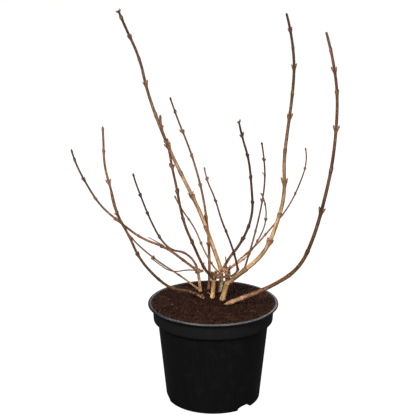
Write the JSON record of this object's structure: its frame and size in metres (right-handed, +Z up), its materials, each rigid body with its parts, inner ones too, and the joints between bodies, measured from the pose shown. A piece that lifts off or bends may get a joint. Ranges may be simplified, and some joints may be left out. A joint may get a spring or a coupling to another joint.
{
  "type": "potted weigela",
  "caption": "Bare winter shrub with thin arching stems and paired buds, growing from compost in a round black nursery pot.",
  "frame": {"origin": "on the pot's axis, at the underside of its base, on the plane the pot stands on", "axes": "+Z up along the pot's axis, -Y towards the front of the plant, +X to the right seen from the front"},
  "size_m": [0.3824, 0.2318, 0.563],
  "materials": {
    "black_plastic": "satin moulded plastic with a slightly shinier lip",
    "peat_compost": "dry crumbly peat compost, dark reddish brown",
    "straw_bark": "dull pale straw coloured bark",
    "pale_bark": "dull tan bark with long grey brown streaks",
    "brown_bark": "dull mid brown bark",
    "dark_bark": "slightly satin dark red brown bark"
  },
  "bodies": {
    "root": {"pot": "black_plastic", "compost": "peat_compost", "old_stem_left": "straw_bark", "old_stem_middle": "straw_bark", "old_stem_right": "straw_bark", "bough_tall_left": "pale_bark", "bough_inner_back": "brown_bark", "bough_arch_right_lower": "brown_bark", "bough_arch_right_upper": "brown_bark", "bough_front_left_lower": "brown_bark", "bough_front_left_upper": "brown_bark", "shoot_low_left": "straw_bark", "bough_far_left": "brown_bark", "shoot_back_left": "dark_bark", "twig_left": "dark_bark", "cut_stub_left": "straw_bark", "cut_stub_middle": "straw_bark", "bough_front_middle": "dark_bark", "cross_stub": "brown_bark", "shoot_front": "dark_bark", "bough_middle": "dark_bark", "cut_stub_right": "straw_bark", "bough_tall_right_lower": "pale_bark", "bough_tall_right_upper": "pale_bark", "shoot_right": "brown_bark", "shoot_right_short": "straw_bark", "twig_stub": "brown_bark", "shoot_middle_right": "dark_bark", "shoot_back": "straw_bark", "twig_far_left": "dark_bark"}
  },
  "joints": []
}
